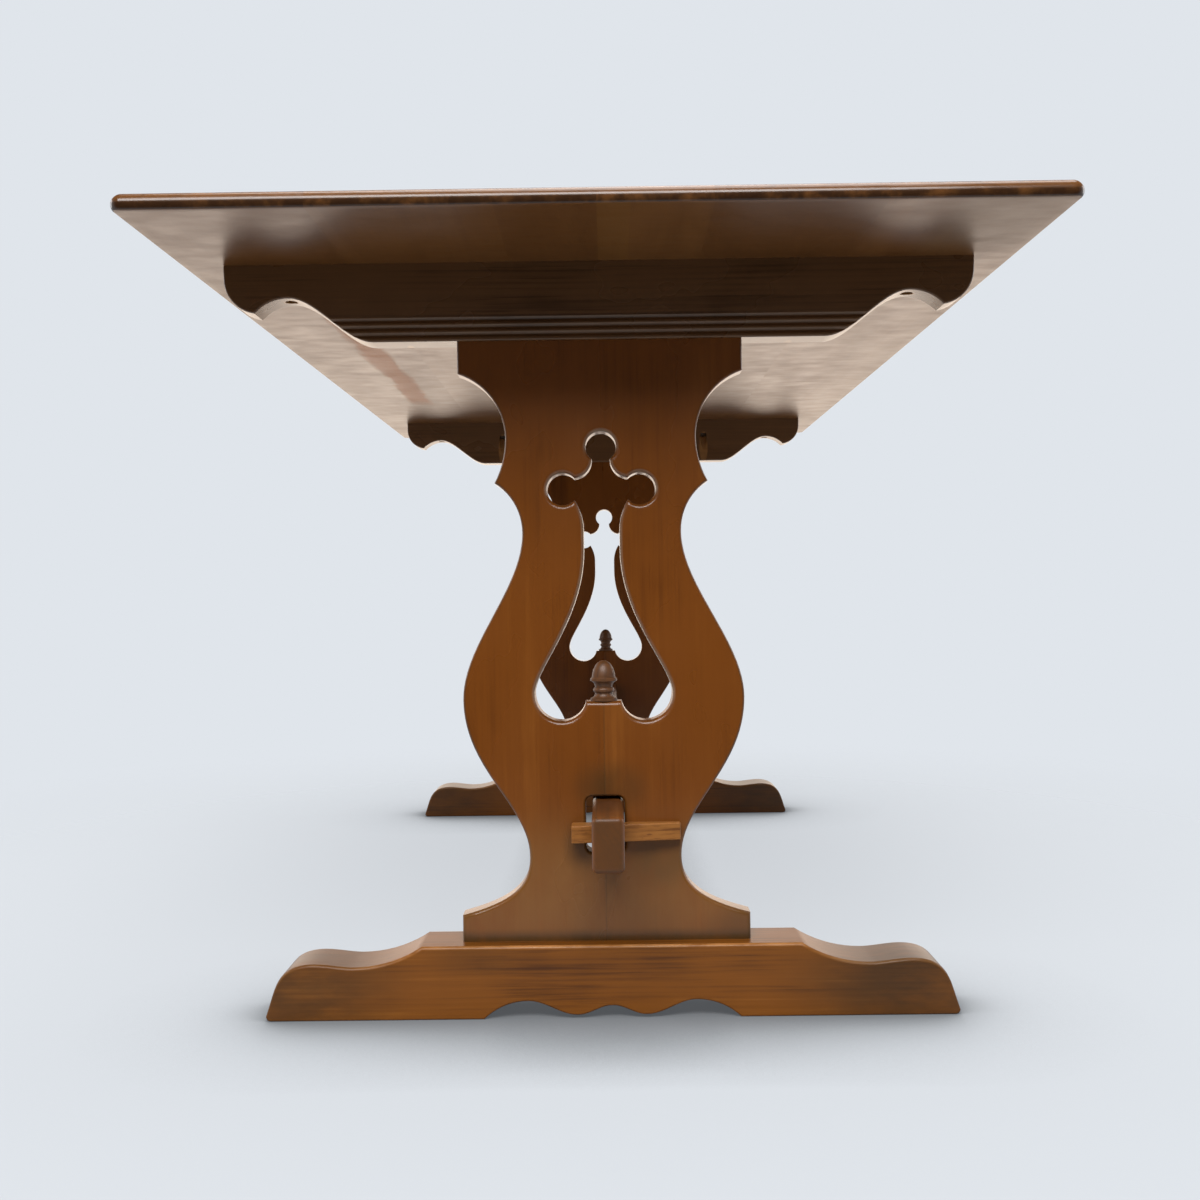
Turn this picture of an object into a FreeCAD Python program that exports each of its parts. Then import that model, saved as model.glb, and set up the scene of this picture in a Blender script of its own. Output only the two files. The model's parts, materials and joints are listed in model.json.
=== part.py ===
import FreeCAD, Part
import os
import re
import math
import Sketcher
from FreeCAD import Placement, Rotation, Vector

# Trestle table: a glued-up top on two cross bearers, two pierced lyre panels on sledge feet, and one
# stretcher whose through tenons are locked by removable wedge keys.
# X runs across the table, Y along it and Z up. The origin is on the floor under the middle of the top.

sizes = {
    # Top: six lengthwise boards. Seams are measured from the centre line, where the fourth board starts.
    "top_length": 1524.0,
    "top_width": 768.0,
    "top_thickness": 16.0,
    "left_outer_seam": 230.0,
    "left_inner_seam": 81.5,
    "right_inner_seam": 93.0,
    "right_outer_seam": 230.0,
    "top_edge_round": 7.0,
    "top_under_round": 2.2,
    "top_edge_land": 1.5,
    "top_corner_extra": 2.0,
    # The whole height, and how far the ends of the top reach past the middle of the trestles.
    "table_height": 708.5,
    "top_overhang": 198.0,
    # Cross bearer. The end shape is measured inwards from its end and down from its top.
    "bearer_length": 690.0,
    "bearer_height": 72.0,
    "bearer_thickness": 34.0,
    "bearer_end_drop": 12.0,
    "ear_inset": 28.0,
    "ear_drop": 44.0,
    "arch_inset": 59.0,
    "arch_drop": 30.5,
    "belly_inset": 137.0,
    "belly_handle": 26.0,
    "reed_first": 5.7,
    "reed_pitch": 6.8,
    "reed_radius": 1.7,
    # Trestle panel outline, half widths from the centre seam and the rise of each stretch. The stretch from
    # the bulge to the waist takes up what the table's height leaves.
    "panel_thickness": 25.0,
    "plinth_half": 133.0,
    "plinth_rise": 24.0,
    "flare_rise": 53.5,
    "flare_run": 37.0,
    "flare_lift": 10.0,
    "flare_handle": 32.0,
    "lower_waist_half": 70.1,
    "lower_swell_rise": 146.0,
    "lower_swell_handle": 48.0,
    "bulge_lower_handle": 66.0,
    "bulge_half": 129.9,
    "bulge_upper_handle": 52.0,
    "upper_swell_handle": 52.0,
    "waist_half": 73.4,
    "collar_rise": 45.8,
    "collar_half": 98.5,
    "throat_rise": 41.2,
    "throat_half": 88.0,
    "scotia_rise": 60.0,
    "shoulder_half": 131.4,
    "shoulder_rise": 29.5,
    # Lyre opening with a trefoil above it. Its lobes rise from the foot, and its crown hangs from the bearer.
    "lobe_floor": 202.5,
    "lobe_reach": 38.5,
    "lobe_rise": 26.0,
    "block_half": 16.5,
    "block_rise": 18.0,
    "lyre_half": 63.7,
    "lyre_lower_handle": 22.0,
    "lyre_upper_handle": 64.0,
    "lyre_neck_half": 16.6,
    "lyre_neck_rise": 18.0,
    "leaf_flare_rise": 27.5,
    "leaf_mouth_reach": 24.7,
    "leaf_mouth_half": 10.0,
    "leaf_radius": 14.8,
    "crown_flare_rise": 17.6,
    "crown_neck_half": 8.4,
    "crown_rise": 25.5,
    "crown_cover": 83.9,
    # Stub tenons of the panels in feet and bearers.
    "stub_thickness": 14.0,
    "foot_stub_half": 75.0,
    "bearer_stub_half": 90.0,
    "foot_mortise_floor": 28.5,
    "bearer_mortise_roof": 38.0,
    "glue_clearance": 0.2,
    # Sledge foot, half lengths from its middle outwards. Its middle lies a little to one side of the panel's.
    "foot_shift": 4.5,
    "foot_thickness": 60.0,
    "foot_height": 66.5,
    "foot_flat_half": 173.5,
    "foot_dip_run": 62.5,
    "foot_dip_drop": 18.3,
    "foot_crest_run": 36.5,
    "foot_crest_rise": 3.2,
    "foot_crest_handle": 12.0,
    "foot_nose_run": 44.0,
    "foot_nose_handle": 36.0,
    "foot_toe_handle_in": 9.0,
    "foot_toe_handle_up": 25.0,
    "foot_toe_round": 4.5,
    "scallop_tip": 11.4,
    "scallop_lobe_half": 31.5,
    "scallop_lobe_clear": 3.0,
    "scallop_lobe_handle": 12.0,
    "scallop_arch_run": 45.5,
    "scallop_arch_height": 16.0,
    "scallop_arch_handle": 17.0,
    "scallop_toe_run": 40.0,
    # Stretcher plank on edge, its through tenons and the loose mortises for them.
    "stretcher_thickness": 28.0,
    "stretcher_height": 110.0,
    "stretcher_shift": 2.6,
    "tenon_seat": 81.5,
    "tenon_height": 48.5,
    "tenon_from_bottom": 30.0,
    "tenon_reach": 100.0,
    "tenon_round": 5.0,
    "mortise_side_gap": 4.0,
    "mortise_top_gap": 3.0,
    # Wedge key: it bears on the panel and tapers from its thick end, on the left, to the right.
    "key_length": 100.0,
    "key_height": 16.0,
    "key_thick": 22.0,
    "key_thin": 8.0,
    "key_left_end": 31.0,
    "key_lift": 12.0,
    "key_clearance": 0.3,
    "key_slot_draw": 4.0,
    # Turned acorn finial on the block in the lyre opening.
    "spigot_radius": 4.0,
    "spigot_length": 16.0,
    "finial_base_radius": 12.4,
    "finial_base_rise": 2.5,
    "finial_cove_rise": 5.0,
    "finial_neck_radius": 8.0,
    "finial_bead_rise": 5.0,
    "finial_bead_radius": 9.8,
    "finial_cup_rise": 6.0,
    "finial_rim_radius": 12.4,
    "finial_rim_rise": 2.0,
    "finial_nut_radius": 10.8,
    "finial_nut_step": 1.5,
    "finial_nut_rise": 15.5,
    "finial_nut_side": 7.0,
    "finial_nut_crown": 6.5,
    # Slotted screws that hold the top down: upright ones in the bearers' arches and leaning pocket screws.
    "screw_radius": 2.25,
    "screw_head_radius": 4.4,
    "screw_head_height": 3.0,
    "screw_slot_width": 1.2,
    "screw_slot_depth": 1.4,
    "screw_bite": 11.0,
    "screw_clearance": 0.2,
    "counterbore_radius": 6.0,
    "counterbore_depth": 12.0,
    "pocket_reach": 177.0,
    "pocket_height": 36.0,
    "pocket_lean": 20.0,
    "pocket_seat": 12.0,
    "pocket_runout": 40.0,
    "cut_margin": 2.0,
}

doc = FreeCAD.newDocument("refectory_table")
sheet = doc.addObject("Spreadsheet::Sheet", "sizes")
for row, (name, value) in enumerate(sizes.items(), 1):
    sheet.set(f"A{row}", name)
    sheet.set(f"B{row}", str(value))
    sheet.setAlias(f"B{row}", name)
doc.recompute()


# An expression names sizes by their plain names.
def cells(expression):
    return re.sub(r"[a-z_]+", lambda word: f"sizes.{word[0]}" if word[0] in sizes else word[0], expression)


def number(expression):
    return float(sheet.evalExpression(cells(expression)))


def place(item, at, turn_axis=None, turn=None):
    if turn_axis:
        item.Placement = Placement(Vector(), Rotation(turn_axis, number(turn)))
        item.setExpression("Placement.Rotation.Angle", cells(turn))
    for axis, expression in zip("xyz", at):
        item.setExpression(f"Placement.Base.{axis}", cells(expression))


def origin_plane(body, role):
    return next(plane for plane in body.Origin.OriginFeatures if plane.Role == role)


def new_body(name):
    return doc.addObject("PartDesign::Body", name)


def new_sketch(body, name, role):
    sketch = body.newObject("Sketcher::SketchObject", name)
    sketch.AttachmentSupport = [(origin_plane(body, role), "")]
    sketch.MapMode = "FlatFace"
    return sketch


# A closed outline in a sketch. Its corners are expressions of the sizes, counted from the sketch's origin.
class Outline:
    def __init__(self, sketch, x, y):
        self.sketch = sketch
        self.corner = (x, y)
        self.start = None
        self.end = None

    def point(self, x, y):
        return Vector(number(x), number(y), 0)

    def rule(self, kind, *where):
        return self.sketch.addConstraint(Sketcher.Constraint(kind, *where))

    def pin(self, curve, end, x, y):
        for axis, kind, expression in ((-2, "DistanceX", x), (-1, "DistanceY", y)):
            value = number(expression)
            if expression == "0":
                self.rule("PointOnObject", curve, end, axis)
            elif value < 0:
                index = self.rule(kind, curve, end, -1, 1, -value)
                self.sketch.setExpression(f"Constraints[{index}]", cells(f"-({expression})"))
            else:
                index = self.rule(kind, -1, 1, curve, end, value)
                self.sketch.setExpression(f"Constraints[{index}]", cells(expression))

    def join(self, curve, first_end, last_end, x, y):
        if self.start is None:
            self.pin(curve, first_end, *self.corner)
            self.start = (curve, first_end, *self.corner)
        else:
            self.rule("Coincident", *self.end, curve, first_end)
        self.end = (curve, last_end)
        self.corner = (x, y)
        if (x, y) == self.start[2:]:
            self.rule("Coincident", curve, last_end, *self.start[:2])
        else:
            self.pin(curve, last_end, x, y)

    def line(self, x, y):
        segment = Part.LineSegment(self.point(*self.corner), self.point(x, y))
        self.join(self.sketch.addGeometry(segment), 1, 2, x, y)

    def arc_about(self, centre, x, y, left_turn):
        first = self.point(*self.corner) - centre
        last = self.point(x, y) - centre
        ends = (first, last) if left_turn else (last, first)
        angles = [math.atan2(ray.y, ray.x) for ray in ends]
        circle = Part.Circle(centre, Vector(0, 0, 1), first.Length)
        curve = self.sketch.addGeometry(Part.ArcOfCircle(circle, *angles))
        self.join(curve, *((1, 2) if left_turn else (2, 1)), x, y)
        return curve

    # An arc that is level or upright at one of its ends.
    def arc(self, x, y, way, at):
        first = self.point(*self.corner)
        last = self.point(x, y)
        tangent_end, other = (first, last) if at == "start" else (last, first)
        span = other - tangent_end
        if way == "level":
            centre = tangent_end + Vector(0, span.Length ** 2 / (2 * span.y), 0)
        else:
            centre = tangent_end + Vector(span.Length ** 2 / (2 * span.x), 0, 0)
        left_turn = (first - centre).cross(last - centre).z > 0
        curve = self.arc_about(centre, x, y, left_turn)
        end = 1 if (at == "start") == left_turn else 2
        self.rule("Vertical" if way == "level" else "Horizontal", curve, 3, curve, end)

    # A round lobe to the right of an upright mouth, more than a half circle, drawn downwards.
    def lobe(self, x, y, radius):
        first = self.point(*self.corner)
        last = self.point(x, y)
        depth = math.sqrt(number(radius) ** 2 - ((last - first).Length / 2) ** 2)
        curve = self.arc_about((first + last) / 2 + Vector(depth, 0, 0), x, y, False)
        self.size_radius(curve, radius)

    def circle(self, radius):
        circle = Part.Circle(self.point(*self.corner), Vector(0, 0, 1), number(radius))
        curve = self.sketch.addGeometry(circle)
        self.pin(curve, 3, *self.corner)
        self.size_radius(curve, radius)

    def size_radius(self, curve, radius):
        index = self.rule("Radius", curve, number(radius))
        self.sketch.setExpression(f"Constraints[{index}]", cells(radius))

    # A cubic curve, whose two handles are corners too.
    def curve(self, first_handle, last_handle, x, y):
        corners = (self.corner, first_handle, last_handle, (x, y))
        spline = Part.BSplineCurve()
        poles = [self.point(*corner) for corner in corners]
        spline.buildFromPolesMultsKnots(poles, [4, 4], [0.0, 1.0], False, 3)
        curve = self.sketch.addGeometry(spline)
        first_pole = self.sketch.GeometryCount
        self.sketch.exposeInternalGeometry(curve)
        self.join(curve, 1, 2, x, y)
        self.pin(first_pole + 1, 3, *first_handle)
        self.pin(first_pole + 2, 3, *last_handle)


def rectangle(sketch, left, bottom, right, top):
    outline = Outline(sketch, left, bottom)
    outline.line(right, bottom)
    outline.line(right, top)
    outline.line(left, top)
    outline.line(left, bottom)


def pad(body, sketch, length, centred=True):
    feature = body.newObject("PartDesign::Pad", f"{sketch.Name}_pad")
    feature.Profile = sketch
    feature.setExpression("Length", cells(length))
    feature.Midplane = centred
    return feature


def pocket(body, sketch, length):
    feature = body.newObject("PartDesign::Pocket", f"{sketch.Name}_cut")
    feature.Profile = sketch
    feature.setExpression("Length", cells(length))
    feature.Midplane = True
    return feature


def mirror(body, features, role):
    feature = body.newObject("PartDesign::Mirrored", f"{body.Name}_mirror")
    feature.Originals = features
    feature.MirrorPlane = (origin_plane(body, role), [""])
    body.Tip = feature
    return feature


def turned(body, sketch, kind):
    feature = body.newObject(f"PartDesign::{kind}", f"{sketch.Name}_turn")
    feature.Profile = sketch
    feature.ReferenceAxis = (sketch, ["V_Axis"])
    feature.Angle = 360
    return feature


same_place = 0.001


def lies_at(low, high, place):
    return abs(low - place) < same_place and abs(high - place) < same_place


# Rounds the edges whose boxes the rule picks.
def round_edges(body, base, radius, rule, name):
    doc.recompute()
    feature = body.newObject("PartDesign::Fillet", name)
    edges = enumerate(base.Shape.Edges, 1)
    feature.Base = (base, [f"Edge{index}" for index, edge in edges if rule(edge.BoundBox)])
    feature.setExpression("Radius", cells(radius))
    return feature


def cylinder(name, radius, height, at, turn_axis=None, turn=None):
    rod = doc.addObject("Part::Cylinder", name)
    rod.setExpression("Radius", cells(radius))
    rod.setExpression("Height", cells(height))
    place(rod, at, turn_axis, turn)
    return rod


def group(name, items):
    compound = doc.addObject("Part::Compound", name)
    compound.Links = items
    return compound


def cut(name, base, tool):
    result = doc.addObject("Part::Cut", name)
    result.Base = base
    result.Tool = tool
    return result


top_underside = "table_height - top_thickness"
bearer_bottom = f"{top_underside} - bearer_height"
panel_height = f"({bearer_bottom} - foot_height)"
trestle_middle = "(top_length / 2 - top_overhang)"
trestles = {"near": -1, "far": 1}


def trestle_y(side):
    return f"{side} * {trestle_middle}"


# Top boards

# The glued edges of a board stay square, so the rounded edges are those at one height off the glue lines.
def round_over(body, base, radius, height, glue_lines, name):
    def rounded(box):
        glued = any(lies_at(box.XMin, box.XMax, x) for x in glue_lines)
        return lies_at(box.ZMin, box.ZMax, height) and not glued

    return round_edges(body, base, radius, rounded, name)


def top_board(name, left, right, open_left, open_right):
    body = new_body(f"{name}_plank")
    width = f"({right}) - ({left})"
    plan = new_sketch(body, f"{name}_plan", "XY_Plane")
    outline = Outline(plan, "0", "0")
    corner = "top_edge_round + top_corner_extra"
    if open_right:
        outline.line(f"{width} - ({corner})", "0")
        outline.arc(width, corner, "level", "start")
        outline.line(width, f"top_length - ({corner})")
        outline.arc(f"{width} - ({corner})", "top_length", "upright", "start")
        outline.line("0", "top_length")
    elif open_left:
        outline = Outline(plan, corner, "0")
        outline.line(width, "0")
        outline.line(width, "top_length")
        outline.line(corner, "top_length")
        outline.arc("0", f"top_length - ({corner})", "level", "start")
        outline.line("0", corner)
        outline.arc(corner, "0", "upright", "start")
    else:
        outline.line(width, "0")
        outline.line(width, "top_length")
        outline.line("0", "top_length")
    if not open_left:
        outline.line("0", "0")
    slab = pad(body, plan, "top_thickness", centred=False)
    glue_lines = ([] if open_left else [0.0]) + ([] if open_right else [number(width)])
    upper_round = "min(top_edge_round; top_thickness - top_under_round - top_edge_land)"
    upper = round_over(body, slab, upper_round, number("top_thickness"), glue_lines, f"{name}_upper_round")
    lower = round_over(body, upper, "top_under_round", 0.0, glue_lines, f"{name}_under_round")
    body.Tip = lower
    place(body, (left, "-top_length / 2", top_underside))
    return body


seams = ["-top_width / 2", "-left_outer_seam", "-left_inner_seam", "0", "right_inner_seam",
         "right_outer_seam", "top_width / 2"]


# Cross bearers, with reeded grooves along the lower part of the outer face

reed_count = 3


def bearer(name, side):
    body = new_body(f"{name}_blank")
    half = "bearer_length / 2"
    profile = new_sketch(body, f"{name}_profile", "XZ_Plane")
    outline = Outline(profile, "0", "0")
    belly_end = f"{half} - belly_inset"
    arch = (f"{half} - arch_inset", "bearer_height - arch_drop")
    outline.line(belly_end, "0")
    outline.curve((f"{belly_end} + belly_handle", "0"), (f"{arch[0]} - belly_handle", arch[1]), *arch)
    outline.arc(f"{half} - ear_inset", "bearer_height - ear_drop", "level", "start")
    outline.arc(half, "bearer_height - bearer_end_drop", "upright", "end")
    outline.line(half, "bearer_height")
    outline.line("0", "bearer_height")
    outline.line("0", "0")
    mirror(body, [pad(body, profile, "bearer_thickness")], "YZ_Plane")
    mortise = new_sketch(body, f"{name}_mortise", "XZ_Plane")
    reach = "bearer_stub_half + glue_clearance"
    depth = "bearer_height - bearer_mortise_roof + glue_clearance"
    rectangle(mortise, f"-({reach})", "-cut_margin", reach, depth)
    pocket(body, mortise, "stub_thickness + 2 * glue_clearance")
    reeds = new_sketch(body, f"{name}_reeds", "YZ_Plane")
    for reed in range(reed_count):
        Outline(reeds, "-bearer_thickness / 2", f"reed_first + {reed} * reed_pitch").circle("reed_radius")
    body.Tip = pocket(body, reeds, "bearer_length + cut_margin")
    if side > 0:
        body.Placement = Placement(Vector(), Rotation(Vector(0, 0, 1), 180))
    place(body, ("0", trestle_y(side), bearer_bottom))
    return body


# Screws that hold the top to the bearers, with the bores for their heads and the holes for their shanks.
# Each starts where its bore meets the bearer, and steps along its own axis from there.

def step_up(start, side, distance):
    x, y, z = start
    return (x, y, f"{z} + {distance}")


def step_leaning(start, side, distance):
    x, y, z = start
    return (x, f"{y} + {side} * ({distance}) * sin(pocket_lean)", f"{z} + ({distance}) * cos(pocket_lean)")


def end_screws_and_bores(name, side):
    x = "(bearer_length / 2 - arch_inset)"
    arch_top = f"{bearer_bottom} + bearer_height - arch_drop"
    starts = [(f"{way} * {x}", trestle_y(side), arch_top) for way in (-1, 1)]
    shank = "arch_drop - counterbore_depth + screw_bite"
    return screws_and_bores(name, side, starts, step_up, "arch_drop", "counterbore_depth", shank)


def pocket_screws_and_bores(name, side):
    inner_face = f"{trestle_y(side)} - {side} * bearer_thickness / 2"
    starts = [(f"{way} * pocket_reach", inner_face, f"{bearer_bottom} + pocket_height") for way in (-1, 1)]
    shank = "(bearer_height - pocket_height) / cos(pocket_lean) - pocket_seat + screw_bite"
    lean = (Vector(-side, 0, 0), "pocket_lean")
    return screws_and_bores(name, side, starts, step_leaning, "pocket_runout", "pocket_seat", shank, *lean)


def screws_and_bores(name, side, starts, step, runout, seat, shank, *turn):
    screws = []
    bores = []
    for index, start in enumerate(starts, 1):
        label = f"{name}_{index}"
        head_base = step(start, side, f"{seat} - screw_head_height")
        seat_point = step(start, side, seat)
        whole = doc.addObject("Part::Fuse", f"{label}_whole")
        whole.Base = cylinder(f"{label}_head", "screw_head_radius", "screw_head_height", head_base, *turn)
        whole.Tool = cylinder(f"{label}_shank", "screw_radius", shank, seat_point, *turn)
        slot = doc.addObject("Part::Box", f"{label}_slot")
        slot.setExpression("Length", cells("2 * screw_head_radius"))
        slot.setExpression("Width", cells("screw_slot_width"))
        slot.setExpression("Height", cells("screw_slot_depth"))
        place(slot, (f"{head_base[0]} - screw_head_radius", *head_base[1:]), *turn)
        screws.append(cut(label, whole, slot))
        mouth = step(start, side, f"-{runout}")
        bores.append(cylinder(f"{label}_bore", "counterbore_radius", f"{runout} + {seat}", mouth, *turn))
        hole = "screw_radius + screw_clearance"
        bores.append(cylinder(f"{label}_hole", hole, f"{shank} + screw_clearance", seat_point, *turn))
    return screws, bores


# Trestle panels: two halves glued on the centre seam. A half turned end for end makes the other one.

def panel_half(name, side, left):
    body = new_body(name)
    profile = new_sketch(body, f"{name}_profile", "XZ_Plane")
    waist = "plinth_rise + flare_rise"
    bulge = f"{waist} + lower_swell_rise"
    shoulder = f"{panel_height} - shoulder_rise"
    throat = f"{shoulder} - scotia_rise"
    collar = f"{throat} - throat_rise"
    upper_waist = f"{collar} - collar_rise"
    outline = Outline(profile, "0", "0")
    outline.line("plinth_half", "0")
    outline.line("plinth_half", "plinth_rise")
    outline.curve(("plinth_half - flare_run", "plinth_rise + flare_lift"),
                  ("lower_waist_half", f"{waist} - flare_handle"), "lower_waist_half", waist)
    outline.curve(("lower_waist_half", f"{waist} + lower_swell_handle"),
                  ("bulge_half", f"{bulge} - bulge_lower_handle"), "bulge_half", bulge)
    outline.curve(("bulge_half", f"{bulge} + bulge_upper_handle"),
                  ("waist_half", f"{upper_waist} - upper_swell_handle"), "waist_half", upper_waist)
    outline.arc("collar_half", collar, "upright", "start")
    outline.arc("throat_half", throat, "upright", "end")
    outline.arc("shoulder_half", shoulder, "upright", "start")
    outline.line("shoulder_half", panel_height)
    outline.line("0", panel_height)
    lyre = "lobe_floor + lobe_rise"
    crown = f"{panel_height} - crown_cover"
    crown_neck = f"{crown} - crown_rise"
    leaf_head = f"{crown_neck} - crown_flare_rise"
    leaf_foot = f"{leaf_head} - 2 * leaf_mouth_half"
    neck_top = f"{leaf_foot} - leaf_flare_rise"
    neck = f"{neck_top} - lyre_neck_rise"
    outline.line("0", crown)
    outline.arc("crown_neck_half", crown_neck, "level", "start")
    outline.arc("leaf_mouth_reach", leaf_head, "upright", "start")
    outline.lobe("leaf_mouth_reach", leaf_foot, "leaf_radius")
    outline.arc("lyre_neck_half", neck_top, "upright", "end")
    outline.line("lyre_neck_half", neck)
    outline.curve(("lyre_neck_half", f"{neck} - lyre_upper_handle"),
                  ("lyre_half", f"{lyre} + lyre_lower_handle"), "lyre_half", lyre)
    outline.arc("lobe_reach", "lobe_floor", "level", "end")
    outline.arc("block_half", "lobe_floor + block_rise", "level", "start")
    outline.line("0", "lobe_floor + block_rise")
    outline.line("0", "0")
    pad(body, profile, "panel_thickness")
    foot_stub = new_sketch(body, f"{name}_foot_stub", "XZ_Plane")
    rectangle(foot_stub, "0", "-(foot_height - foot_mortise_floor)", "foot_stub_half", "0")
    pad(body, foot_stub, "stub_thickness")
    bearer_stub = new_sketch(body, f"{name}_bearer_stub", "XZ_Plane")
    rectangle(bearer_stub, "0", panel_height, "bearer_stub_half",
              f"{panel_height} + bearer_height - bearer_mortise_roof")
    pad(body, bearer_stub, "stub_thickness")
    mortise = new_sketch(body, f"{name}_mortise", "XZ_Plane")
    side_wall = "stretcher_thickness / 2 + mortise_side_gap"
    mortise_top = "tenon_seat + tenon_height + mortise_top_gap"
    corner = "(tenon_round + mortise_side_gap - stretcher_shift)"
    hole = Outline(mortise, "0", "tenon_seat")
    hole.line(f"{side_wall} - {corner}", "tenon_seat")
    hole.arc(side_wall, f"tenon_seat + {corner}", "level", "start")
    hole.line(side_wall, f"{mortise_top} - {corner}")
    hole.arc(f"{side_wall} - {corner}", mortise_top, "upright", "start")
    hole.line("0", mortise_top)
    hole.line("0", "tenon_seat")
    pocket(body, mortise, "panel_thickness + cut_margin")
    socket = new_sketch(body, f"{name}_socket", "XZ_Plane")
    block_top = "lobe_floor + block_rise"
    rectangle(socket, "0", f"{block_top} - spigot_length - glue_clearance",
              "spigot_radius + glue_clearance", f"{block_top} + cut_margin")
    body.Tip = turned(body, socket, "Groove")
    if left:
        body.Placement = Placement(Vector(), Rotation(Vector(0, 0, 1), 180))
    place(body, ("0", trestle_y(side), "foot_height"))
    return body


# Sledge feet

def foot(name, side):
    body = new_body(name)
    profile = new_sketch(body, f"{name}_profile", "XZ_Plane")
    dip = ("foot_flat_half + foot_dip_run", "foot_height - foot_dip_drop")
    crest = (f"{dip[0]} + foot_crest_run", f"{dip[1]} + foot_crest_rise")
    toe = f"{crest[0]} + foot_nose_run"
    arch = ("scallop_lobe_half + scallop_arch_run", "scallop_arch_height")
    lobe = ("scallop_lobe_half", "scallop_lobe_clear")
    outline = Outline(profile, "0", "scallop_tip")
    outline.curve(("scallop_lobe_handle", "scallop_tip"),
                  (f"{lobe[0]} - scallop_lobe_handle", lobe[1]), *lobe)
    outline.curve((f"{lobe[0]} + scallop_arch_handle", lobe[1]),
                  (f"{arch[0]} - scallop_arch_handle", arch[1]), *arch)
    outline.arc(f"{arch[0]} + scallop_toe_run", "0", "level", "start")
    outline.line(f"{toe} - foot_toe_round", "0")
    outline.arc(toe, "foot_toe_round", "level", "start")
    outline.curve((f"{toe} - foot_toe_handle_in", "foot_toe_round + foot_toe_handle_up"),
                  (f"{crest[0]} + foot_nose_handle", crest[1]), *crest)
    outline.curve((f"{crest[0]} - foot_crest_handle", crest[1]),
                  (f"{dip[0]} + foot_crest_handle", dip[1]), *dip)
    outline.arc("foot_flat_half", "foot_height", "level", "start")
    outline.line("0", "foot_height")
    outline.line("0", "scallop_tip")
    mirror(body, [pad(body, profile, "foot_thickness")], "YZ_Plane")
    mortise = new_sketch(body, f"{name}_mortise", "XZ_Plane")
    reach = "foot_stub_half + glue_clearance"
    floor = "foot_mortise_floor - glue_clearance"
    rectangle(mortise, f"-({reach}) - foot_shift", floor, f"{reach} - foot_shift", "foot_height + cut_margin")
    body.Tip = pocket(body, mortise, "stub_thickness + 2 * glue_clearance")
    if side > 0:
        body.Placement = Placement(Vector(), Rotation(Vector(0, 0, 1), 180))
    place(body, (f"{-side} * foot_shift", trestle_y(side), "0"))
    return body


# Stretcher, drawn for its far half and mirrored to the near one.

panel_outer_face = f"({trestle_middle} + panel_thickness / 2)"


def key_depth(x):
    return f"(key_thick - (key_thick - key_thin) * (({x}) + key_left_end) / key_length)"


def stretcher(name):
    body = new_body(name)
    profile = new_sketch(body, f"{name}_profile", "YZ_Plane")
    shoulder = f"{trestle_middle} - panel_thickness / 2"
    end = f"{panel_outer_face} + tenon_reach"
    low = "tenon_from_bottom"
    high = "tenon_from_bottom + tenon_height"
    outline = Outline(profile, "0", "0")
    outline.line(shoulder, "0")
    outline.line(shoulder, low)
    outline.line(end, low)
    outline.line(end, high)
    outline.line(shoulder, high)
    outline.line(shoulder, "stretcher_height")
    outline.line("0", "stretcher_height")
    outline.line("0", "0")
    plank = pad(body, profile, "stretcher_thickness")
    plan = new_sketch(body, f"{name}_key_slot", "XY_Plane")
    plan.setExpression("AttachmentOffset.Base.z", cells("tenon_from_bottom + key_lift + key_height / 2"))
    side = "(stretcher_thickness / 2 + cut_margin)"
    inner = f"{panel_outer_face} - key_slot_draw"
    slot = Outline(plan, f"-{side}", inner)
    slot.line(side, inner)
    for x in (side, f"-{side}"):
        slot.line(x, f"{panel_outer_face} + 2 * key_clearance + {key_depth(f'{x} + stretcher_shift')}")
    slot.line(f"-{side}", inner)
    slot_cut = pocket(body, plan, "key_height + 2 * key_clearance")
    whole = mirror(body, [plank, slot_cut], "XZ_Plane")

    # The arrises along the tenons and round their ends, on either half of the plank.
    def on_tenon(box):
        near, far = sorted((abs(box.YMin), abs(box.YMax)))
        beyond = near > number(shoulder) - same_place and far > number(shoulder) + same_place
        level = any(lies_at(box.ZMin, box.ZMax, number(height)) for height in (low, high))
        return beyond and (level or lies_at(near, far, number(end)))

    body.Tip = round_edges(body, whole, "tenon_round", on_tenon, f"{name}_tenon_round")
    place(body, ("stretcher_shift", "0", "foot_height + tenon_seat - tenon_from_bottom"))
    return body


# Wedge keys, drawn for the far end. The near one is the same key turned over about X.

def key(name, side):
    body = new_body(name)
    plan = new_sketch(body, f"{name}_plan", "XY_Plane")
    outline = Outline(plan, "0", "0")
    outline.line("key_length", "0")
    outline.line("key_length", "key_thin")
    outline.line("0", "key_thick")
    outline.line("0", "0")
    pad(body, plan, "key_height")
    if side < 0:
        body.Placement = Placement(Vector(), Rotation(Vector(1, 0, 0), 180))
    height = "foot_height + tenon_seat + key_lift + key_height / 2"
    place(body, ("-key_left_end", f"{side} * ({panel_outer_face} + key_clearance)", height))
    return body


# Acorn finials

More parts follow.
